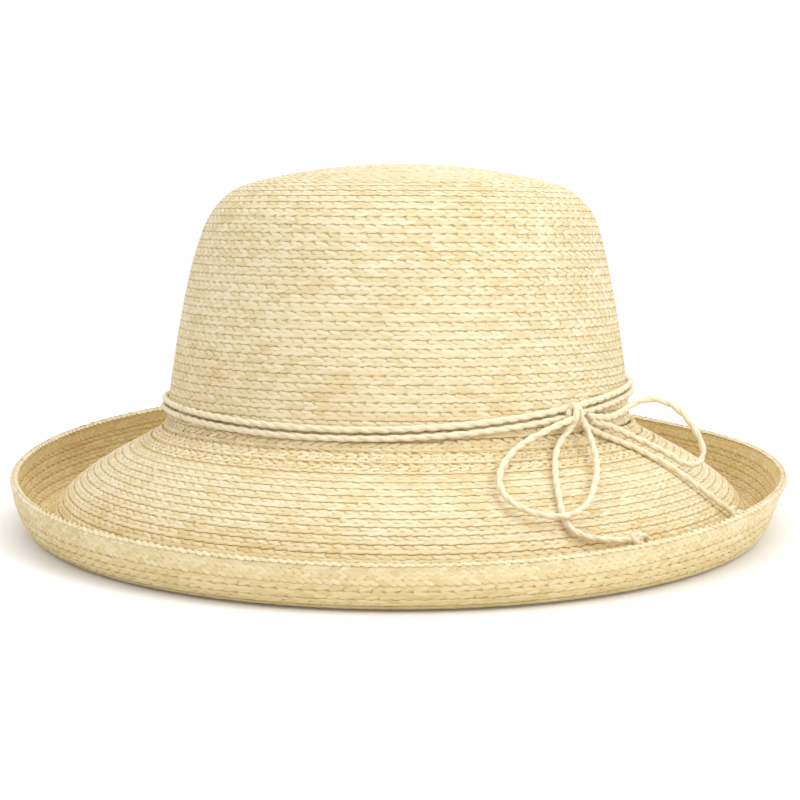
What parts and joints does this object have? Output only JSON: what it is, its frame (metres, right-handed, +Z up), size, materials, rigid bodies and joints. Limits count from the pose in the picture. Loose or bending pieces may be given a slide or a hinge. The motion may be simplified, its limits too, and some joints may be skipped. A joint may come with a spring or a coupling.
{
  "type": "straw sun hat",
  "caption": "Straw sun hat of sewn flat plait with a rounded crown, an upturned brim, an inner sweatband and a thin twisted cord tied in a bow.",
  "frame": {"origin": "middle of the oval that the hat stands on, at the table", "axes": "+Z up through the crown, -Y the front of the hat, +X to the right as seen from the front"},
  "size_m": [0.3006, 0.3219, 0.1369],
  "materials": {
    "straw_plait": "natural straw plait, sewn, lightly stiffened, matt with a faint sheen",
    "twisted_cord": "two-ply twisted cord of pale raffia, matt",
    "sweatband_cloth": "ribbed cotton grosgrain ribbon",
    "sewing_thread": "pale cotton-wrapped sewing thread",
    "label_cloth": "blank woven satin label"
  },
  "bodies": {
    "root": {"crown_coil": "straw_plait", "crown_tip": "straw_plait", "crown_side": "straw_plait", "brim_slope": "straw_plait", "brim_roll": "straw_plait", "edge_plait": "straw_plait", "sweatband": "sweatband_cloth", "sweatband_join": "sweatband_cloth", "sweatband_stitches": "sewing_thread", "size_label": "label_cloth", "trim_wrap_upper": "twisted_cord", "trim_wrap_lower": "twisted_cord", "trim_tacks": "sewing_thread", "bow_knot": "twisted_cord", "bow_loop_front": "twisted_cord", "bow_loop_side": "twisted_cord", "tail_front": "twisted_cord", "tail_front_knot": "twisted_cord", "tail_side": "twisted_cord", "tail_side_knot": "twisted_cord"}
  },
  "joints": []
}
